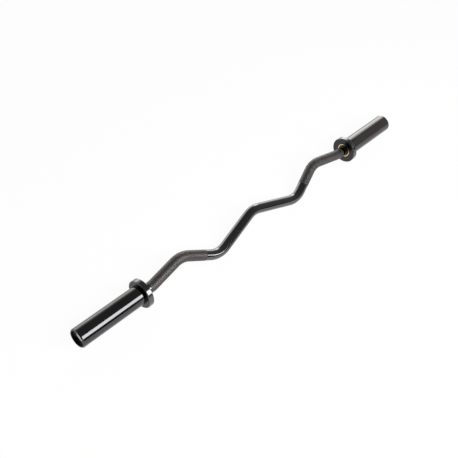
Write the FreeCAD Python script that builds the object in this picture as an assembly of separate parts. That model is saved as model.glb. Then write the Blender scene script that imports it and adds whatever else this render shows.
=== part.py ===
import FreeCAD, Part
import math
import os

from FreeCAD import Vector

# A curl bar with a bent one-piece shaft and a sleeve that spins on two bushings at each end.
# Millimetres. X runs along the bar, Z is up and the floor is at Z = 0, under the middle of the bar.

# Shaft: each span is measured along X, each offset square to the sleeve axis in the plane of the bends.
shaft_diameter = 28.0
centre_span = 156.5        # from the middle of the bar to the valley bend
inner_grip_span = 106.5    # from the valley bend to the crest bend
outer_grip_span = 107.0    # from the crest bend to the bend beside the sleeve
stub_span = 27.5           # from that bend to the collar
centre_offset = 12.0
valley_offset = 36.0
crest_offset = 20.0
bend_radius = 70.0         # at the shaft's centreline
shaft_end_chamfer = 1.0

# Knurled grips: rolled into the shaft round the crest bend, a little proud of the smooth steel.
knurl_height = 0.25
knurl_setback = 18.0       # smooth straight between the valley bend and the knurl
knurl_run_out = 6.0        # knurled straight past the bend beside the sleeve

# Sleeve and collar
sleeve_diameter = 50.0
load_length = 187.5        # from the collar to the sleeve's end
sleeve_chamfer = 2.5
collar_diameter = 75.0
collar_thickness = 15.0
collar_chamfer = 1.6
spigot_step = 2.0          # the collar is pressed on a turned-down spigot, against a cone of this height
spigot_chamfer = 0.3

# Bushings
bushing_wall = 3.0
bushing_length = 30.0
bushing_chamfer = 0.5
bushing_mouth = 3.4        # flare at the mouth of the flanged bushing
bushing_set_back = 0.5     # outer bushing, behind the shoulder that carries the thrust washer
flange_width = 3.0
flange_thickness = 3.5
flange_set_back = 0.5      # behind the collar's inner face
flange_chamfer = 0.4
running_clearance = 0.05   # between shaft and bushing

# End recess, with the stack of pieces that keeps the sleeve on the shaft
recess_step = 3.0          # from the bushing bore out to the recess wall
recess_depth = 5.4         # from the sleeve's end to the visible retaining ring
recess_chamfer = 2.0       # lead-in that closes the ring as it is pressed in
end_play = 0.3             # between the shaft's retaining ring and each thrust washer
stack_clearance = 0.3      # round the washers and the end plate
washer_thickness = 3.0
washer_chamfer = 0.3
plate_thickness = 4.0
plate_chamfer = 0.5
shaft_end_gap = 0.5

# Retaining rings: open rings with a pierced lug on each side of the gap.
shaft_ring_thickness = 1.5
shaft_groove_depth = 0.7
sleeve_ring_thickness = 1.75
sleeve_groove_depth = 1.25
ring_wide = 4.0            # radial width opposite the gap
ring_narrow = 2.4          # radial width beside the gap
lug_radius = 2.5
lug_reach = 3.2            # from the sleeve ring's seat in to the middle of its lugs
lug_hole_radius = 1.1
lug_wall = 1.2             # steel between a lug's hole and the gap
ring_gap = 3.0

floor_gap = 0.2            # under the valley bends, where the shaft leans on the floor

# Places along the bar
valley_x = centre_span
crest_x = valley_x + inner_grip_span
stub_bend_x = crest_x + outer_grip_span
collar_inner_x = stub_bend_x + stub_span
collar_outer_x = collar_inner_x + collar_thickness
flange_face_x = collar_inner_x + flange_set_back
flange_back_x = flange_face_x + flange_thickness
end_x = collar_outer_x + load_length
sleeve_ring_x = end_x - recess_depth
plate_x = sleeve_ring_x - sleeve_ring_thickness
outer_washer_x = plate_x - plate_thickness
shaft_ring_x = outer_washer_x - washer_thickness - end_play
inner_washer_x = shaft_ring_x - shaft_ring_thickness - end_play
shoulder_x = inner_washer_x - washer_thickness
shaft_end_x = outer_washer_x - shaft_end_gap

# Radii about the sleeve axis
shaft_radius = shaft_diameter / 2
sleeve_radius = sleeve_diameter / 2
collar_radius = collar_diameter / 2
spigot_radius = sleeve_radius - spigot_step
bushing_inner_radius = shaft_radius + running_clearance
bore_radius = shaft_radius + bushing_wall
flange_radius = bore_radius + flange_width
recess_radius = bore_radius + recess_step
shaft_groove_radius = shaft_radius - shaft_groove_depth
sleeve_groove_radius = recess_radius + sleeve_groove_depth

# Slopes of the shaft's straights against the sleeve axis, and the turn at each bend
outer_slope = math.atan2(crest_offset, outer_grip_span)
inner_slope = math.atan2(crest_offset + valley_offset, inner_grip_span)
centre_slope = math.atan2(centre_offset + valley_offset, centre_span)
valley_turn = inner_slope + centre_slope

# The shaft swings in its bushings until the valley bends meet the floor, which sets how far it leans.
valley_tilt = (inner_slope - centre_slope) / 2
valley_depth = valley_offset + bend_radius - bend_radius * math.cos(valley_tilt) / math.cos(valley_turn / 2)
lean = math.asin(min(1.0, (collar_radius - shaft_radius - floor_gap) / valley_depth))

bar_axis = Vector(1, 0, 0)
bend_side = Vector(0, math.cos(lean), math.sin(lean))   # the way the crests stand off the sleeve axis
lift = Vector(0, 0, collar_radius)                       # the collars rest on the floor


def on_bend_plane(x, offset):
    return bar_axis * x + bend_side * offset


def arc_run(turn):
    return bend_radius * math.tan(turn / 2)


def rounded_path(corners):
    # Straight runs joined by tangent arcs of the bend radius.
    edges = []
    start = corners[0]
    for before, corner, after in zip(corners, corners[1:], corners[2:]):
        back = (before - corner).normalize()
        ahead = (after - corner).normalize()
        turn = math.pi - back.getAngle(ahead)
        first = corner + back * arc_run(turn)
        last = corner + ahead * arc_run(turn)
        middle_way = (back + ahead).normalize()
        middle = corner + middle_way * (bend_radius / math.cos(turn / 2) - bend_radius)
        edges.append(Part.LineSegment(start, first).toShape())
        edges.append(Part.Arc(first, middle, last).toShape())
        start = last
    edges.append(Part.LineSegment(start, corners[-1]).toShape())
    return Part.Wire(edges)


def round_bar(path, radius):
    start = path.Edges[0]
    begin = start.valueAt(start.FirstParameter)
    section = Part.Wire(Part.Circle(begin, start.tangentAt(start.FirstParameter), radius).toShape())
    return path.makePipeShell([section], True, False)


def turned(outline):
    # A piece turned on the sleeve axis from its outline of (x, radius) corners.
    corners = [Vector(x, 0, radius) for x, radius in outline]
    face = Part.Face(Part.makePolygon(corners + corners[:1]))
    return face.revolve(Vector(0, 0, 0), bar_axis, 360)


def ring_of(start_x, length, inner_radius, outer_radius, chamfer):
    end = start_x + length
    return turned([
        (start_x + chamfer, inner_radius),
        (end - chamfer, inner_radius),
        (end, inner_radius + chamfer),
        (end, outer_radius - chamfer),
        (end - chamfer, outer_radius),
        (start_x + chamfer, outer_radius),
        (start_x, outer_radius - chamfer),
        (start_x, inner_radius + chamfer),
    ])


def disc(start_x, length, radius, y=0.0, z=0.0):
    return Part.makeCylinder(radius, length, Vector(start_x, y, z), bar_axis)


def mirrored(shape):
    return shape.mirror(Vector(0, 0, 0), bar_axis)


def grip_path():
    # The stretch of the shaft that carries the right-hand knurl.
    valley = on_bend_plane(valley_x, -valley_offset)
    crest = on_bend_plane(crest_x, crest_offset)
    stub_bend = on_bend_plane(stub_bend_x, 0)
    along_grip = (crest - valley).normalize()
    start = valley + along_grip * (arc_run(valley_turn) + knurl_setback)
    end = stub_bend + bar_axis * (arc_run(outer_slope) + knurl_run_out)
    return rounded_path([start, crest, stub_bend, end])


def make_shaft():
    half = [
        on_bend_plane(valley_x, -valley_offset),
        on_bend_plane(crest_x, crest_offset),
        on_bend_plane(stub_bend_x, 0),
        on_bend_plane(shaft_end_x, 0),
    ]
    other_half = [Vector(-p.x, p.y, p.z) for p in reversed(half)]
    shaft = round_bar(rounded_path(other_half + [on_bend_plane(0, centre_offset)] + half), shaft_radius)
    grip = round_bar(grip_path(), shaft_radius + knurl_height)
    shaft = shaft.fuse([grip, mirrored(grip)])
    beyond = shaft_radius + knurl_height
    groove = turned([
        (shaft_ring_x, shaft_groove_radius),
        (shaft_ring_x, beyond),
        (shaft_ring_x - shaft_ring_thickness, beyond),
        (shaft_ring_x - shaft_ring_thickness, shaft_groove_radius),
    ])
    end_edge = turned([
        (shaft_end_x - shaft_end_chamfer, shaft_radius),
        (shaft_end_x, shaft_radius - shaft_end_chamfer),
        (shaft_end_x, shaft_radius),
    ])
    return shaft.cut([groove, mirrored(groove), end_edge, mirrored(end_edge)])


def make_sleeve():
    return turned([
        (collar_inner_x, flange_radius),
        (flange_back_x, flange_radius),
        (flange_back_x, bore_radius),
        (shoulder_x, bore_radius),
        (shoulder_x, recess_radius),
        (plate_x, recess_radius),
        (plate_x, sleeve_groove_radius),
        (sleeve_ring_x, sleeve_groove_radius),
        (sleeve_ring_x, recess_radius),
        (end_x - recess_chamfer, recess_radius),
        (end_x, recess_radius + recess_chamfer),
        (end_x, sleeve_radius - sleeve_chamfer),
        (end_x - sleeve_chamfer, sleeve_radius),
        (collar_outer_x, sleeve_radius),
        (collar_outer_x - spigot_step, spigot_radius),
        (collar_inner_x + spigot_chamfer, spigot_radius),
        (collar_inner_x, spigot_radius - spigot_chamfer),
    ])


def make_collar():
    return turned([
        (collar_inner_x, spigot_radius + spigot_chamfer),
        (collar_inner_x + spigot_chamfer, spigot_radius),
        (collar_outer_x - spigot_step, spigot_radius),
        (collar_outer_x, sleeve_radius),
        (collar_outer_x, collar_radius - collar_chamfer),
        (collar_outer_x - collar_chamfer, collar_radius),
        (collar_inner_x + collar_chamfer, collar_radius),
        (collar_inner_x, collar_radius - collar_chamfer),
    ])


def make_inner_bushing():
    tail_x = flange_back_x + bushing_length
    return turned([
        (flange_face_x, bushing_inner_radius + bushing_mouth),
        (flange_face_x + bushing_mouth, bushing_inner_radius),
        (tail_x, bushing_inner_radius),
        (tail_x, bore_radius - bushing_chamfer),
        (tail_x - bushing_chamfer, bore_radius),
        (flange_back_x, bore_radius),
        (flange_back_x, flange_radius),
        (flange_face_x + flange_chamfer, flange_radius),
        (flange_face_x, flange_radius - flange_chamfer),
    ])


def make_outer_bushing():
    start_x = shoulder_x - bushing_set_back - bushing_length
    return ring_of(start_x, bushing_length, bushing_inner_radius, bore_radius, bushing_chamfer)


def make_thrust_washer(start_x):
    inner = shaft_radius + stack_clearance
    outer = recess_radius - stack_clearance
    return ring_of(start_x, washer_thickness, inner, outer, washer_chamfer)


def make_end_plate():
    radius = recess_radius - stack_clearance
    return turned([
        (outer_washer_x, 0),
        (outer_washer_x, radius - plate_chamfer),
        (outer_washer_x + plate_chamfer, radius),
        (plate_x - plate_chamfer, radius),
        (plate_x, radius - plate_chamfer),
        (plate_x, 0),
    ])


def retaining_ring(start_x, thickness, seat_radius, side, lug_centre):
    # side is +1 for a ring that grips a shaft and stands out of its groove, -1 for one inside a bore.
    free_radius = seat_radius + side * (ring_wide + ring_narrow) / 2
    shift = -side * (ring_wide - ring_narrow) / 2
    seat = disc(start_x, thickness, seat_radius)
    free = disc(start_x, thickness, free_radius, z=shift)
    lug_y = ring_gap / 2 + lug_wall + lug_hole_radius
    lug_z = math.sqrt(lug_centre ** 2 - lug_y ** 2)
    lugs = [disc(start_x, thickness, lug_radius, y, lug_z) for y in (-lug_y, lug_y)]
    holes = [disc(start_x, thickness, lug_hole_radius, y, lug_z) for y in (-lug_y, lug_y)]
    if side > 0:
        body = free.fuse(lugs).cut(seat)
    else:
        body = seat.cut(free).fuse([lug.common(seat) for lug in lugs])
    gap = Part.makeBox(thickness, ring_gap, sleeve_radius, Vector(start_x, -ring_gap / 2, 0))
    return body.cut([gap] + holes).removeSplitter()


def make_shaft_ring():
    lug_centre = recess_radius - stack_clearance - lug_radius
    start_x = shaft_ring_x - shaft_ring_thickness
    return retaining_ring(start_x, shaft_ring_thickness, shaft_groove_radius, 1, lug_centre)


def make_sleeve_ring():
    lug_centre = sleeve_groove_radius - lug_reach
    return retaining_ring(plate_x, sleeve_ring_thickness, sleeve_groove_radius, -1, lug_centre)


right_side = {
    "sleeve": make_sleeve(),
    "collar": make_collar(),
    "inner_bushing": make_inner_bushing(),
    "outer_bushing": make_outer_bushing(),
    "inner_thrust_washer": make_thrust_washer(shoulder_x),
    "outer_thrust_washer": make_thrust_washer(outer_washer_x - washer_thickness),
    "end_plate": make_end_plate(),
    "shaft_ring": make_shaft_ring(),
    "sleeve_ring": make_sleeve_ring(),
}

pieces = {"shaft": make_shaft()}
for name, shape in right_side.items():
    pieces["right_" + name] = shape
    pieces["left_" + name] = mirrored(shape)

os.makedirs("parts", exist_ok=True)
for name, shape in pieces.items():
    shape.translate(lift)
    shape.exportStep(os.path.join("parts", name + ".step"))
    print(f"{name}: {len(shape.Solids)} solid, {shape.Volume / 1000:.2f} cm3, valid {shape.isValid()}")
print(f"overall length {2 * end_x:.1f}, lean {math.degrees(lean):.2f}, valley depth {valley_depth:.2f}")
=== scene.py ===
import bmesh
import bpy
import math
from mathutils import Matrix, Vector


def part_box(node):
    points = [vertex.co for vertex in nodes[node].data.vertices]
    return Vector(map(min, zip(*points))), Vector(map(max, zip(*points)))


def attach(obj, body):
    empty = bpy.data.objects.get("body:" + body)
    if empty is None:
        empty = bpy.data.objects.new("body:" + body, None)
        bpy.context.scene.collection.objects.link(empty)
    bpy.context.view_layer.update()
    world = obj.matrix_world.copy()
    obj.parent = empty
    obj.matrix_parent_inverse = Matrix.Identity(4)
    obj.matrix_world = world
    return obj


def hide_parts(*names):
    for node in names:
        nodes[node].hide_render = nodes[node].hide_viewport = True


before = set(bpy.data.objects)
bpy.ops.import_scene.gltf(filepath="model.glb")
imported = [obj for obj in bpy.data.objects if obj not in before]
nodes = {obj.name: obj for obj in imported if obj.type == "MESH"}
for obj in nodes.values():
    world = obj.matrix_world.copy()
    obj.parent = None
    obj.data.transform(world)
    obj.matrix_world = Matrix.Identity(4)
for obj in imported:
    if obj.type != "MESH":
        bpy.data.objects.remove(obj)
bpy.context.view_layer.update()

# Curl bar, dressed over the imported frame. Metres, +Z up, X along the bar, floor at Z = 0.

axisHeight = (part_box("right_collar")[0].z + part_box("right_collar")[1].z) / 2   # sleeve axis over the floor
mm = 0.001
weld = 1e-6                  # points nearer than this, in metres, are one
print("frame loaded,", len(nodes), "nodes, sleeve axis at", round(axisHeight, 5))


# Small helpers for modelling by operator

def deselectAll():
    if bpy.context.mode != "OBJECT":
        bpy.ops.object.mode_set(mode="OBJECT")
    bpy.ops.object.select_all(action="DESELECT")


def makeActive(piece):
    deselectAll()
    piece.select_set(True)
    bpy.context.view_layer.objects.active = piece


def startEdit(piece, pick="VERT"):
    makeActive(piece)
    bpy.ops.object.mode_set(mode="EDIT")
    bpy.ops.mesh.select_mode(type=pick)
    bpy.ops.mesh.select_all(action="DESELECT")


def selectWhere(piece, kind, test):
    # selects the verts, edges or faces that pass the test, and lets go of the rest
    mesh = bmesh.from_edit_mesh(piece.data)
    bpy.ops.mesh.select_all(action="DESELECT")
    for part in getattr(mesh, kind):
        if test(part):
            part.select_set(True)
    mesh.select_flush_mode()
    bmesh.update_edit_mesh(piece.data)


def applyModifier(piece, kind, **settings):
    makeActive(piece)
    modifier = piece.modifiers.new(kind.title(), kind)
    for key, value in settings.items():
        setattr(modifier, key, value)
    bpy.ops.object.modifier_apply(modifier=modifier.name)


def roundEdges(piece, width, segments=2, angle=28):
    applyModifier(piece, "BEVEL", width=width, segments=segments, limit_method="ANGLE",
                  angle_limit=math.radians(angle), use_clamp_overlap=False)


def smoothByAngle(piece, angle=32):
    makeActive(piece)
    bpy.ops.object.shade_smooth_by_angle(angle=math.radians(angle))


def startRing(name, x, radius, segments, height):
    # an open circle across the bar, the first ring of a turned piece
    deselectAll()
    bpy.ops.mesh.primitive_circle_add(vertices=segments, radius=radius, fill_type="NOTHING",
                                      location=(x, 0, height), rotation=(0, math.pi / 2, 0))
    piece = bpy.context.object
    piece.name = name
    piece.data.name = name
    bpy.ops.object.transform_apply(location=True, rotation=True, scale=True)
    return piece


def pullRings(rings, height):
    # extrudes the selected ring on to each next (x, radius)
    for (x, radius), (nextX, nextRadius) in zip(rings, rings[1:]):
        bpy.ops.mesh.extrude_region_move(TRANSFORM_OT_translate={"value": (nextX - x, 0, 0)})
        if nextRadius != radius:
            grow = nextRadius / radius
            bpy.ops.transform.resize(value=(1, grow, grow), center_override=(nextX, 0, height))


def closeUp(piece, fill=False):
    # merges the seam, fills open ends and turns the faces outwards
    bpy.ops.mesh.select_all(action="SELECT")
    bpy.ops.mesh.remove_doubles(threshold=weld)
    if fill:
        bpy.ops.mesh.select_all(action="SELECT")
        bpy.ops.mesh.fill_holes(sides=0)
    bpy.ops.mesh.select_all(action="SELECT")
    bpy.ops.mesh.normals_make_consistent(inside=False)
    bpy.ops.object.mode_set(mode="OBJECT")


def withHolds(rings, hold=0.6 * mm):
    # a ring close to each end of a long wall, so that its shading stays true up to the edge
    held = [rings[0]]
    for (x, radius), (nextX, nextRadius) in zip(rings, rings[1:]):
        run = math.hypot(nextX - x, nextRadius - radius)
        if run > 4 * hold:
            held += [(x + (nextX - x) * share, radius + (nextRadius - radius) * share)
                     for share in (hold / run, 1 - hold / run)]
        held.append((nextX, nextRadius))
    return held


def turnPiece(name, outline, segments, edge, solid=False):
    # a piece turned on the sleeve axis from its (x, radius) outline in millimetres
    rings = [(x * mm, radius * mm) for x, radius in outline]
    if not solid:
        rings.append(rings[0])
    rings = withHolds(rings)
    piece = startRing(name, rings[0][0], rings[0][1], segments, axisHeight)
    startEdit(piece)
    bpy.ops.mesh.select_all(action="SELECT")
    pullRings(rings, axisHeight)
    closeUp(piece, fill=solid)
    roundEdges(piece, edge * mm)
    smoothByAngle(piece)
    return piece


def mirrorCopy(piece, name):
    # the other half's piece, with a mesh of its own
    makeActive(piece)
    bpy.ops.object.duplicate(linked=False)
    twin = bpy.context.object
    twin.name = name
    twin.data.name = name
    startEdit(twin)
    bpy.ops.mesh.select_all(action="SELECT")
    bpy.ops.transform.resize(value=(-1, 1, 1), center_override=(0, 0, 0))
    bpy.ops.mesh.normals_make_consistent(inside=False)
    bpy.ops.object.mode_set(mode="OBJECT")
    smoothByAngle(twin)
    return twin


def paint(piece, *materials):
    # clearing the slots resets the faces' choice of finish, so that is put back
    chosen = [face.material_index for face in piece.data.polygons]
    piece.data.materials.clear()
    for material in materials:
        piece.data.materials.append(material)
    if any(chosen):
        piece.data.polygons.foreach_set("material_index", chosen)


# Shader groups that several finishes share

def newGroup(name, inputs, outputs):
    group = bpy.data.node_groups.new(name, "ShaderNodeTree")
    for label, kind, value in inputs:
        socket = group.interface.new_socket(label, in_out="INPUT", socket_type=kind)
        if value is not None:
            socket.default_value = value
    for label, kind in outputs:
        group.interface.new_socket(label, in_out="OUTPUT", socket_type=kind)
    start = group.nodes.new("NodeGroupInput")
    end = group.nodes.new("NodeGroupOutput")
    return group, start, end


def addMath(tree, operation, first, second):
    node = tree.nodes.new("ShaderNodeMath")
    node.operation = operation
    for socket, value in zip(node.inputs, (first, second)):
        if isinstance(value, (int, float)):
            socket.default_value = value
        else:
            tree.links.new(value, socket)
    return node.outputs[0]


latheMarks = {"detail": 3.0, "grain": 0.6}
wear = {"Patch": {"size": "Patches", "detail": 4.0}, "Speck": {"size": "Specks", "detail": 2.0},
        "grain": 0.55, "spread": (0.3, 0.7)}


def makeTurningMarks():
    # fine rings round the sleeve axis, as a lathe tool leaves them on faces and walls alike
    group, start, end = newGroup("turningMarks", [
        ("Place", "NodeSocketVector", None),
        ("Axis Height", "NodeSocketFloat", axisHeight),
        ("Lines", "NodeSocketFloat", 2500.0),
    ], [("Marks", "NodeSocketFloat")])
    split = group.nodes.new("ShaderNodeSeparateXYZ")
    group.links.new(start.outputs["Place"], split.inputs[0])
    rise = addMath(group, "SUBTRACT", split.outputs["Z"], start.outputs["Axis Height"])
    across = addMath(group, "MULTIPLY", split.outputs["Y"], split.outputs["Y"])
    upward = addMath(group, "MULTIPLY", rise, rise)
    radius = addMath(group, "SQRT", addMath(group, "ADD", across, upward), 0.0)
    join = group.nodes.new("ShaderNodeCombineXYZ")
    group.links.new(addMath(group, "MULTIPLY", split.outputs["X"], start.outputs["Lines"]), join.inputs["X"])
    group.links.new(addMath(group, "MULTIPLY", radius, start.outputs["Lines"]), join.inputs["Y"])
    noise = group.nodes.new("ShaderNodeTexNoise")
    noise.inputs["Scale"].default_value = 1.0
    noise.inputs["Detail"].default_value = latheMarks["detail"]
    noise.inputs["Roughness"].default_value = latheMarks["grain"]
    group.links.new(join.outputs[0], noise.inputs["Vector"])
    group.links.new(noise.outputs["Fac"], end.inputs["Marks"])
    return group


def makeHandling():
    # cloudy patches where a finish has been wiped and handled, with finer specks inside them
    group, start, end = newGroup("handling", [
        ("Place", "NodeSocketVector", None),
        ("Patches", "NodeSocketFloat", 18.0),
        ("Specks", "NodeSocketFloat", 900.0),
    ], [("Patch", "NodeSocketFloat"), ("Speck", "NodeSocketFloat")])
    for label in ("Patch", "Speck"):
        noise = group.nodes.new("ShaderNodeTexNoise")
        noise.inputs["Detail"].default_value = wear[label]["detail"]
        noise.inputs["Roughness"].default_value = wear["grain"]
        group.links.new(start.outputs["Place"], noise.inputs["Vector"])
        group.links.new(start.outputs[wear[label]["size"]], noise.inputs["Scale"])
        spread = group.nodes.new("ShaderNodeMapRange")
        spread.inputs["From Min"].default_value, spread.inputs["From Max"].default_value = wear["spread"]
        group.links.new(noise.outputs["Fac"], spread.inputs["Value"])
        group.links.new(spread.outputs["Result"], end.inputs[label])
    return group


turningMarks = makeTurningMarks()
handling = makeHandling()


def newMaterial(name):
    material = bpy.data.materials.new(name)
    material.use_nodes = True
    tree = material.node_tree
    return material, tree, tree.nodes["Principled BSDF"]


def placeGroup(tree, group, **values):
    node = tree.nodes.new("ShaderNodeGroup")
    node.node_tree = group
    place = tree.nodes.new("ShaderNodeTexCoord")
    tree.links.new(place.outputs["Object"], node.inputs["Place"])
    for key, value in values.items():
        node.inputs[key].default_value = value
    return node


def between(tree, value, low, high):
    # spreads a 0 to 1 value from low to high
    node = tree.nodes.new("ShaderNodeMapRange")
    node.inputs["To Min"].default_value = low
    node.inputs["To Max"].default_value = high
    tree.links.new(value, node.inputs["Value"])
    return node.outputs["Result"]


def blendColours(tree, value, low, high):
    node = tree.nodes.new("ShaderNodeMix")
    node.data_type = "RGBA"
    for label, colour in (("A", low), ("B", high)):
        socket = next(s for s in node.inputs if s.name == label and s.type == "RGBA")
        if isinstance(colour, bpy.types.NodeSocket):
            tree.links.new(colour, socket)
        else:
            socket.default_value = (*colour, 1)
    tree.links.new(value, node.inputs["Factor"])
    return next(s for s in node.outputs if s.type == "RGBA")


def addBump(tree, shader, height, strength, distance):
    node = tree.nodes.new("ShaderNodeBump")
    node.inputs["Strength"].default_value = strength
    node.inputs["Distance"].default_value = distance
    tree.links.new(height, node.inputs["Height"])
    tree.links.new(node.outputs["Normal"], shader.inputs["Normal"])


def turnedFinish(name, look):
    # a machined and finished steel or bronze surface
    material, tree, shader = newMaterial(name)
    marks = placeGroup(tree, turningMarks, Lines=look["lines"])
    worn = placeGroup(tree, handling, Patches=look["patches"], Specks=look["specks"])
    shade = addMath(tree, "ADD", addMath(tree, "MULTIPLY", worn.outputs["Patch"], 1 - look["lineShare"]),
                    addMath(tree, "MULTIPLY", marks.outputs["Marks"], look["lineShare"]))
    tree.links.new(blendColours(tree, shade, look["dark"], look["light"]), shader.inputs["Base Color"])
    tree.links.new(between(tree, shade, *look["roughness"]), shader.inputs["Roughness"])
    relief = addMath(tree, "ADD", marks.outputs["Marks"],
                     addMath(tree, "MULTIPLY", worn.outputs["Speck"], look["speckShare"]))
    addBump(tree, shader, relief, look["bump"], look["bumpDepth"])
    shader.inputs["Metallic"].default_value = look["metal"]
    return material


# Finishes. Lines, patches and specks are counts per metre, and each share is out of 1.
sleeveLook = {"dark": (0.077, 0.076, 0.079), "light": (0.098, 0.097, 0.101), "roughness": (0.08, 0.13), "metal": 1.0,
              "lines": 1800.0, "lineShare": 0.35, "patches": 14.0, "specks": 700.0, "speckShare": 0.5,
              "bump": 0.012, "bumpDepth": 0.00004}
rimLook = dict(sleeveLook, dark=(0.13, 0.128, 0.13), light=(0.165, 0.163, 0.166), roughness=(0.11, 0.17),
               lines=2600.0, bump=0.03)
faceLook = dict(rimLook, dark=(0.043, 0.042, 0.043), light=(0.058, 0.057, 0.058), roughness=(0.2, 0.3), bump=0.06)
# Painted shade: the bore and recess walls are rougher than the sleeve, and also painted far darker for the shade
# inside the hole
boreDullAndShadedLook = dict(faceLook, dark=(0.016, 0.016, 0.016), light=(0.026, 0.026, 0.026), roughness=(0.4, 0.55))
shaftLook = dict(sleeveLook, dark=(0.12, 0.12, 0.124), light=(0.15, 0.15, 0.155), roughness=(0.06, 0.1),
                 lines=900.0, lineShare=0.2, specks=1200.0, bump=0.004)
bronzeLook = {"dark": (0.55, 0.41, 0.25), "light": (0.95, 0.79, 0.56), "roughness": (0.16, 0.28), "metal": 1.0,
              "lines": 4200.0, "lineShare": 0.65, "patches": 60.0, "specks": 1800.0, "speckShare": 0.3,
              "bump": 0.2, "bumpDepth": 0.00006}
ringLook = {"dark": (0.03, 0.03, 0.032), "light": (0.055, 0.055, 0.058), "roughness": (0.34, 0.46), "metal": 1.0,
            "lines": 3000.0, "lineShare": 0.4, "patches": 90.0, "specks": 2200.0, "speckShare": 0.4,
            "bump": 0.12, "bumpDepth": 0.00004}
washerLook = dict(ringLook, dark=(0.40, 0.40, 0.41), light=(0.60, 0.60, 0.61), roughness=(0.2, 0.32), lines=5200.0)
plateLook = dict(ringLook, dark=(0.50, 0.50, 0.51), light=(0.64, 0.64, 0.65), roughness=(0.12, 0.18), lines=3600.0,
                 lineShare=0.5, bump=0.03)

sleeveBlack = turnedFinish("sleeveBlack", sleeveLook)
collarRim = turnedFinish("collarRim", rimLook)
collarFace = turnedFinish("collarFace", faceLook)
boreDullAndShaded = turnedFinish("boreDullAndShaded", boreDullAndShadedLook)
shaftBlack = turnedFinish("shaftBlack", shaftLook)
bushingBronze = turnedFinish("bushingBronze", bronzeLook)
ringBlack = turnedFinish("ringBlack", ringLook)
washerSteel = turnedFinish("washerSteel", washerLook)
plateSteel = turnedFinish("plateSteel", plateLook)
print("finishes made")


# Knurled grips: darker in the grooves, rubbed lighter on the points
gripLook = {"groove": (0.088, 0.083, 0.081), "point": (0.168, 0.16, 0.156), "roughness": (0.54, 0.44), "metal": 0.9,
            "specks": 1500.0, "patches": 40.0, "speckShare": 0.1, "leastRub": 0.75, "bump": 0.2, "bumpDepth": 0.00018}


def makeGripFinish(look):
    material, tree, shader = newMaterial("gripKnurl")
    point = tree.nodes.new("ShaderNodeAttribute")
    point.attribute_name = "knurlPoint"
    worn = placeGroup(tree, handling, Patches=look["patches"], Specks=look["specks"])
    rub = addMath(tree, "MULTIPLY", point.outputs["Fac"], between(tree, worn.outputs["Patch"], look["leastRub"], 1.0))
    tree.links.new(blendColours(tree, rub, look["groove"], look["point"]), shader.inputs["Base Color"])
    tree.links.new(between(tree, rub, *look["roughness"]), shader.inputs["Roughness"])
    relief = addMath(tree, "ADD", point.outputs["Fac"],
                     addMath(tree, "MULTIPLY", worn.outputs["Speck"], look["speckShare"]))
    addBump(tree, shader, relief, look["bump"], look["bumpDepth"])
    shader.inputs["Metallic"].default_value = look["metal"]
    return material


gripKnurl = makeGripFinish(gripLook)


# Shaft: a straight bar with its knurl and ring grooves, then bent along the line of the bar.
# Corners are (x, offset in the plane of the bends), in millimetres, for the right half.
bar = {
    "corners": [(0, 12), (156.5, -36), (263, 20), (370, 0)],
    "endX": 588.35,
    "bendRadius": 70,
    "lean": math.radians(49.548435),    # of the plane of the bends over the floor
    "radius": 14,
    "columns": 128,
    "edge": 0.15,
    "smoothAngle": 45,
    "endChamfer": 1,
    "groove": (584.05, 585.55, 13.3),   # from, to, radius
    "gripSetback": 18,                  # from the end of the valley bend
    "gripRunOut": 6,
    "gripRows": 244,
    "pointRadius": 14.24,
    "hollowRadius": 14.06,
    "bendStep": 2.6,
    "lineSteps": 48,                    # of the curve, between two of its knots
    "slack": 0.01,                      # how far from its station a ring may be found
    "hold": 1.2,                        # smooth rings kept this close to bends, knurl and groove
}


def barLine():
    # both ends of the line, and each bend from left to right: tangent points, ways in and out, turn
    half = [Vector((x, offset)) for x, offset in bar["corners"]] + [Vector((bar["endX"], 0))]
    corners = [Vector((-p.x, p.y)) for p in reversed(half[1:])] + half
    bends = []
    for before, corner, after in zip(corners, corners[1:], corners[2:]):
        back = (before - corner).normalized()
        ahead = (after - corner).normalized()
        turn = math.pi - back.angle(ahead)
        run = bar["bendRadius"] * math.tan(turn / 2)
        bends.append((corner + back * run, corner + ahead * run, -back, ahead, turn))
    return corners[0], bends, corners[-1]


def onPlane(point):
    lean = bar["lean"]
    return Vector((point.x * mm, point.y * mm * math.cos(lean), axisHeight + point.y * mm * math.sin(lean)))


def bendStations(first, bends, last):
    # where each bend starts and stops, measured along the line in millimetres
    spans = []
    along = 0.0
    here = first
    for start, stop, wayIn, wayOut, turn in bends:
        along += (start - here).length
        spans.append((along, along + bar["bendRadius"] * turn))
        along = spans[-1][1]
        here = stop
    return spans, along + (last - here).length


def drawBarLine(first, bends, last):
    # the line as one curve whose handles make each bend a round arc
    knots = [(first, None, None)]
    for start, stop, wayIn, wayOut, turn in bends:
        reach = bar["bendRadius"] * 4 / 3 * math.tan(turn / 4)
        knots.append((start, None, start + wayIn * reach))
        knots.append((stop, stop - wayOut * reach, None))
    knots.append((last, None, None))
    deselectAll()
    bpy.ops.curve.primitive_bezier_curve_add()
    line = bpy.context.object
    line.name = "barLine"
    line.data.splines.clear()
    spline = line.data.splines.new("BEZIER")
    spline.bezier_points.add(len(knots) - 1)
    spline.resolution_u = line.data.resolution_u = bar["lineSteps"]
    for i, (point, before, after) in enumerate(knots):
        knot = spline.bezier_points[i]
        knot.handle_left_type = knot.handle_right_type = "FREE"
        knot.co = onPlane(point)
        previous = knots[i - 1][0] if i else point
        following = knots[i + 1][0] if i + 1 < len(knots) else point
        knot.handle_left = onPlane(before if before is not None else point + (previous - point) / 3)
        knot.handle_right = onPlane(after if after is not None else point + (following - point) / 3)
    return line


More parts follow.
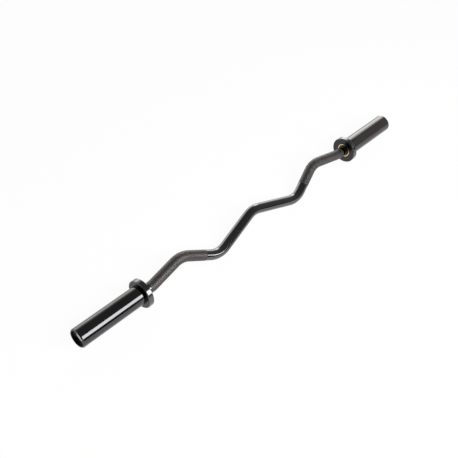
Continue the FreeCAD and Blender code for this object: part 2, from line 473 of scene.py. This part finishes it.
def makeShaft():
    first, bends, last = barLine()
    spans, length = bendStations(first, bends, last)
    radius = bar["radius"]
    endGap = [bar["endX"] - x for x in bar["groove"][:2]]         # the groove's walls, from the bar's end
    rightValley, collarBend = spans[4], spans[6]                   # of seven, counted from the left
    gripStart = rightValley[1] + bar["gripSetback"]
    gripEnd = collarBend[1] + bar["gripRunOut"]
    rightGrip = (gripStart, gripEnd)
    leftGrip = (length - gripEnd, length - gripStart)
    grips = (leftGrip, rightGrip)

    rings = [(0, radius - bar["endChamfer"]), (bar["endChamfer"], radius), (endGap[1], radius),
             (endGap[1], bar["groove"][2]), (endGap[0], bar["groove"][2]), (endGap[0], radius),
             (endGap[0] + bar["hold"], radius)]
    endRings = list(rings)
    cuts = set()
    for a, b in spans + list(grips):
        cuts |= {s for s in (a - bar["hold"], a, b, b + bar["hold"])
                 if not any(low + weld < s < high - weld for low, high in grips)}
    rings += [(s, radius) for s in sorted(cuts)]
    rings += [(length - s, r) for s, r in reversed(endRings)]
    rings = [(s * mm, r * mm) for s, r in rings]

    piece = startRing("bentShaft", rings[0][0], rings[0][1], bar["columns"], 0)
    startEdit(piece)
    bpy.ops.mesh.select_all(action="SELECT")
    pullRings(rings, 0)
    closeUp(piece, fill=True)
    roundEdges(piece, bar["edge"] * mm)
    print("shaft pulled out straight,", round(length, 2), "mm along its line")

    def longEdges(low, high):
        # edges that run along the bar inside a stretch of it
        def test(edge):
            a, b = edge.verts[0].co, edge.verts[1].co
            inside = low - bar["slack"] < min(a.x, b.x) / mm and max(a.x, b.x) / mm < high + bar["slack"]
            return inside and abs(a.x - b.x) / mm > 10 * bar["slack"]
        return test

    startEdit(piece, "EDGE")
    for a, b in spans:                                             # smooth bends
        if any(low < (a + b) / 2 < high for low, high in grips):
            continue
        selectWhere(piece, "edges", longEdges(a, b))
        bpy.ops.mesh.subdivide(number_cuts=max(2, round((b - a) / bar["bendStep"])))
    for low, high in grips:                                        # knurl rows, in two goes
        selectWhere(piece, "edges", longEdges(low, high))
        bpy.ops.mesh.subdivide(number_cuts=bar["gripRows"] // 4 - 1)
        selectWhere(piece, "edges", longEdges(low, high))
        bpy.ops.mesh.subdivide(number_cuts=3)

    borders = leftGrip + rightGrip                                 # the knurl starts at a sharp line
    selectWhere(piece, "edges",
                lambda edge: any(all(abs(v.co.x / mm - s) < bar["slack"] for v in edge.verts) for s in borders))
    bpy.ops.mesh.mark_sharp()

    bpy.ops.mesh.select_mode(type="VERT")
    step = math.tau / bar["columns"]
    for low, high in grips:                                        # every other crossing stands up as a point
        row = (high - low) / bar["gripRows"]
        for side, level in ((0, bar["pointRadius"]), (1, bar["hollowRadius"])):
            def test(vert):
                along = (vert.co.x / mm - low) / row
                if not 0.5 < along < bar["gripRows"] - 0.5:
                    return False
                column = round(math.atan2(vert.co.z, vert.co.y) / step)
                return (column + round(along)) % 2 == side
            selectWhere(piece, "verts", test)
            grow = level / radius
            bpy.ops.transform.resize(value=(1, grow, grow), center_override=(0, 0, 0))
        selectWhere(piece, "faces", lambda face: low < face.calc_center_median().x / mm < high)
        bpy.ops.mesh.quads_convert_to_tris(quad_method="SHORTEST_DIAGONAL", ngon_method="BEAUTY")
    bpy.ops.object.mode_set(mode="OBJECT")
    smoothByAngle(piece, bar["smoothAngle"])

    knurlPoint = piece.data.attributes.new("knurlPoint", "FLOAT", "POINT")
    heights = [math.hypot(v.co.y, v.co.z) / mm for v in piece.data.vertices]
    low, high = bar["hollowRadius"], bar["pointRadius"]
    knurlPoint.data.foreach_set("value", [min(1.0, max(0.0, (h - low) / (high - low))) for h in heights])
    for face in piece.data.polygons:
        s = face.center.x / mm
        if any(low < s < high for low, high in grips):
            face.material_index = 1
    print("knurl raised,", len(piece.data.polygons), "faces")

    line = drawBarLine(first, bends, last)
    applyModifier(piece, "CURVE", object=line, deform_axis="POS_X")
    bpy.data.objects.remove(line, do_unlink=True)
    return piece


shaft = makeShaft()
paint(shaft, shaftBlack, gripKnurl)
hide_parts("shaft")
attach(shaft, "shaft")
print("shaft bent")


# Turned pieces of the right half, as (x, radius) outlines in millimetres. The left half mirrors them.
sleeveTube = {
    "outline": [(397.5, 20), (401.5, 20), (401.5, 17), (580.75, 17), (580.75, 20), (592.85, 20), (592.85, 21.25),
                (594.6, 21.25), (594.6, 20), (598, 20), (600, 22), (600, 22.5), (597.5, 25), (412.5, 25), (410.5, 23),
                (397.5, 23)],
    "segments": 160, "edge": 0.22, "node": "sleeve", "slot": "sleeve_black", "finish": sleeveBlack,
    "second": boreDullAndShaded, "secondOn": lambda radius, normal: radius < 21.9,      # the bore isn't polished, and its much darker colour is painted shade inside the hole
}
collarRing = {
    "outline": [(397.5, 23), (410.5, 23), (412.5, 25), (412.5, 35.9), (410.9, 37.5), (399.1, 37.5), (397.5, 35.9)],
    "segments": 160, "edge": 0.25, "node": "collar", "slot": "collar_black", "finish": collarRim,
    "second": collarFace, "secondOn": lambda radius, normal: abs(normal.x) > 0.97,   # faces as turned, rim polished
}
flangedBushing = {
    "outline": [(398, 17.45), (401.4, 14.05), (431.5, 14.05), (431.5, 16.5), (431, 17), (401.5, 17), (401.5, 20),
                (398.4, 20), (398, 19.6)],
    "segments": 128, "edge": 0.1, "node": "inner_bushing", "slot": "bronze", "finish": bushingBronze,
}
endPlate = {
    "outline": [(588.85, 16), (588.85, 19.2), (589.35, 19.7), (592.35, 19.7), (592.85, 19.2), (592.85, 16)],
    "segments": 96, "edge": 0.12, "node": "end_plate", "slot": "plate_steel", "finish": plateSteel, "solid": True,
}


def dressBothSides(look):
    right = turnPiece("right_" + look["node"] + "_turned", look["outline"], look["segments"], look["edge"],
                      look.get("solid", False))
    if "second" in look:
        for face in right.data.polygons:
            radius = math.hypot(face.center.y, face.center.z - axisHeight) / mm
            face.material_index = int(look["secondOn"](radius, face.normal))
    left = mirrorCopy(right, "left_" + look["node"] + "_turned")
    for side, piece in (("right", right), ("left", left)):
        paint(piece, look["finish"], *([look["second"]] if "second" in look else []))
        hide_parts(side + "_" + look["node"])
        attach(piece, side + "_sleeve")
    print(look["node"], "turned,", len(right.data.polygons), "faces each")


for look in (sleeveTube, collarRing, flangedBushing, endPlate):
    dressBothSides(look)


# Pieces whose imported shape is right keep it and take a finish.
keptFinish = {"outer_bushing": bushingBronze, "inner_thrust_washer": washerSteel, "outer_thrust_washer": washerSteel,
              "shaft_ring": ringBlack, "sleeve_ring": ringBlack}
for side in ("left", "right"):
    for node, finish in keptFinish.items():
        paint(nodes[side + "_" + node], finish)
print("kept nodes finished")


# Floor, and a dim room round it: a little lighter to the right, with a pale backdrop low behind the bar that is
# dimmer on the left, a window in its right corner and a pale rim where the floor ends. Each pair is the part of
# the way there at which a light is full, and where it ends.
studio = {"halfWidth": 40.0, "sink": 0.0001, "cuts": 7,
          "paper": (0.93, 0.93, 0.93), "paperDark": 0.985, "flecks": 3.0, "paperRough": 0.9, "glow": 0.94,
          "room": (0.14, 0.14, 0.142), "roomRight": (0.23, 0.23, 0.23), "rightSpan": (0.75, 0.45),
          "backdrop": (3.95, 3.75, 3.5), "backReach": (0.5, 0.1), "backRise": (-0.1, 0.72),
          "backSpan": (-0.15, -0.45), "backLeft": 0.35,
          "window": (4.6, 4.55, 4.45), "windowSpan": (0.7, 0.58), "windowEnd": (0.74, 0.83),
          "windowReach": (0.5, 0.15), "windowRise": (0.4, 0.76),
          "rim": (1.0, 1.0, 1.0), "rimRise": (0.035, 0.055)}


def makePaper():
    material, tree, shader = newMaterial("studioPaper")
    place = tree.nodes.new("ShaderNodeTexCoord")
    fleck = tree.nodes.new("ShaderNodeTexNoise")
    fleck.inputs["Scale"].default_value = studio["flecks"]
    tree.links.new(place.outputs["Object"], fleck.inputs["Vector"])
    darker = [part * studio["paperDark"] for part in studio["paper"]]
    shade = blendColours(tree, fleck.outputs["Fac"], darker, studio["paper"])
    tree.links.new(shade, shader.inputs["Base Color"])
    shader.inputs["Roughness"].default_value = studio["paperRough"]
    shader.inputs["Specular IOR Level"].default_value = 0.0
    path = tree.nodes.new("ShaderNodeLightPath")
    seen = addMath(tree, "ADD", path.outputs["Is Camera Ray"], path.outputs["Is Glossy Ray"])
    seen = addMath(tree, "ADD", seen, path.outputs["Is Transmission Ray"])
    share = addMath(tree, "MULTIPLY", addMath(tree, "MINIMUM", seen, 1.0), studio["glow"])
    glow = tree.nodes.new("ShaderNodeEmission")
    glow.inputs["Color"].default_value = (1, 1, 1, 1)
    mix = tree.nodes.new("ShaderNodeMixShader")
    tree.links.new(share, mix.inputs[0])
    tree.links.new(shader.outputs[0], mix.inputs[1])
    tree.links.new(glow.outputs[0], mix.inputs[2])
    tree.links.new(mix.outputs[0], tree.nodes["Material Output"].inputs["Surface"])
    return material


def makeFloor():
    deselectAll()
    bpy.ops.mesh.primitive_plane_add(size=2, location=(0, 0, -studio["sink"]))
    floor = bpy.context.object
    floor.name = "studioFloor"
    startEdit(floor)
    bpy.ops.mesh.select_all(action="SELECT")
    bpy.ops.transform.resize(value=(studio["halfWidth"], studio["halfWidth"], 1), center_override=(0, 0, 0))
    bpy.ops.mesh.subdivide(number_cuts=studio["cuts"])
    bpy.ops.object.mode_set(mode="OBJECT")
    bpy.ops.object.transform_apply(location=True, rotation=True, scale=True)
    paint(floor, makePaper())


makeFloor()


# Low dark cards in front, which only the gloss shows: the dark line between the long highlight and the floor
darkCards = {"sleeveCard": {"place": (-0.59, -0.42, 0.04), "turn": 0, "width": 0.73, "height": 0.08},
             "barCard": {"place": (0.06, -0.25, 0.03), "turn": math.radians(-17), "width": 0.54, "height": 0.06}}
cardBlack = {"colour": (0.01, 0.01, 0.01), "roughness": 0.9}


def makeDarkCards():
    material, _, shader = newMaterial("cardBlack")
    shader.inputs["Base Color"].default_value = (*cardBlack["colour"], 1)
    shader.inputs["Roughness"].default_value = cardBlack["roughness"]
    for name, card in darkCards.items():
        deselectAll()
        bpy.ops.mesh.primitive_plane_add(size=1, location=card["place"], rotation=(math.pi / 2, 0, card["turn"]))
        sheet = bpy.context.object
        sheet.name = name
        sheet.scale = (card["width"], card["height"], 1)
        bpy.ops.object.transform_apply(location=True, rotation=True, scale=True)
        paint(sheet, material)
        sheet.visible_camera = sheet.visible_diffuse = sheet.visible_shadow = False


makeDarkCards()


def makeRoom():
    world = bpy.data.worlds.new("studioRoom")
    bpy.context.scene.world = world
    world.use_nodes = True
    tree = world.node_tree
    way = tree.nodes.new("ShaderNodeTexCoord")
    split = tree.nodes.new("ShaderNodeSeparateXYZ")
    tree.links.new(way.outputs["Generated"], split.inputs[0])

    def fade(axis, span, least=0):
        # 1 at the first end of the span and the least at the other
        node = tree.nodes.new("ShaderNodeMapRange")
        node.interpolation_type = "SMOOTHSTEP"
        levels = (1, least) if span[0] < span[1] else (least, 1)
        node.inputs["From Min"].default_value, node.inputs["From Max"].default_value = sorted(span)
        node.inputs["To Min"].default_value, node.inputs["To Max"].default_value = levels
        tree.links.new(split.outputs[axis], node.inputs["Value"])
        return node.outputs["Result"]

    def both(first, *others):
        for other in others:
            first = addMath(tree, "MULTIPLY", first, other)
        return first

    shade = blendColours(tree, fade("X", studio["rightSpan"]), studio["room"], studio["roomRight"])
    shade = blendColours(tree, fade("Z", studio["rimRise"]), shade, studio["rim"])
    behind = both(fade("X", studio["backSpan"], studio["backLeft"]), fade("Y", studio["backReach"]),
                  fade("Z", studio["backRise"]))
    shade = blendColours(tree, behind, shade, studio["backdrop"])
    corner = both(fade("X", studio["windowSpan"]), fade("X", studio["windowEnd"]), fade("Y", studio["windowReach"]),
                  fade("Z", studio["windowRise"]))
    shade = blendColours(tree, corner, shade, studio["window"])
    tree.links.new(shade, tree.nodes["Background"].inputs["Color"])


makeRoom()


# Lamps: a standing soft box in front that draws the long highlight, a small one that glints in the left valley bend,
# a fill that the gloss doesn't show, and a dim warm panel past the right end
softBox = {"place": (0.375, -1.664, 1.155), "aim": (0.375, 0, 0.055), "width": 0.85, "height": 1.06, "watts": 21.8}
glintBox = {"place": (1.06, -2.0, 0.64), "aim": (-0.2, 0, 0.03), "width": 0.2, "height": 0.34, "watts": 2.3}
frontFill = {"place": (-0.4, -2.0, 2.3), "aim": (0, 0, 0), "width": 2.6, "height": 1.8, "watts": 70}
endPanel = {"place": (0.95, -0.11, 0.345), "aim": (0.5, -0.11, 0.345), "width": 0.8, "height": 0.45, "watts": 0.34,
            "colour": (1.0, 0.74, 0.68)}


def addLamp(name, lamp):
    deselectAll()
    bpy.ops.object.light_add(type="AREA", location=lamp["place"])
    light = bpy.context.object
    light.name = name
    light.data.shape = "RECTANGLE"
    light.data.size = lamp["width"]
    light.data.size_y = lamp["height"]
    light.data.energy = lamp["watts"]
    light.data.color = lamp.get("colour", (1, 1, 1))
    aim = Vector(lamp["place"]) - Vector(lamp["aim"])
    light.rotation_euler = aim.to_track_quat("Z", "Y").to_euler()
    return light


for label, lamp in (("softBox", softBox), ("glintBox", glintBox), ("frontFill", frontFill),
                    ("endPanel", endPanel)):
    addLamp(label, lamp).visible_camera = False
bpy.data.objects["frontFill"].visible_glossy = False
print("studio lit")


# Camera, as the photograph was taken
view = {"place": (-1.230253, -0.832582, 1.496029), "right": (0.676917, -0.727849, 0.109631),
        "up": (0.477505, 0.547588, 0.687122), "back": (-0.560153, -0.412775, 0.718223),
        "lens": 61.548, "sensor": 36, "farEnd": 200}
deselectAll()
bpy.ops.object.camera_add()
camera = bpy.context.object
camera.name = "photoCamera"
camera.data.lens = view["lens"]
camera.data.sensor_width = view["sensor"]
camera.data.clip_end = view["farEnd"]
turn = Matrix((view["right"], view["up"], view["back"])).transposed().to_4x4()
camera.matrix_world = Matrix.Translation(view["place"]) @ turn
bpy.context.scene.camera = camera
bpy.context.scene.view_settings.view_transform = "Standard"
print("camera set")

deselectAll()
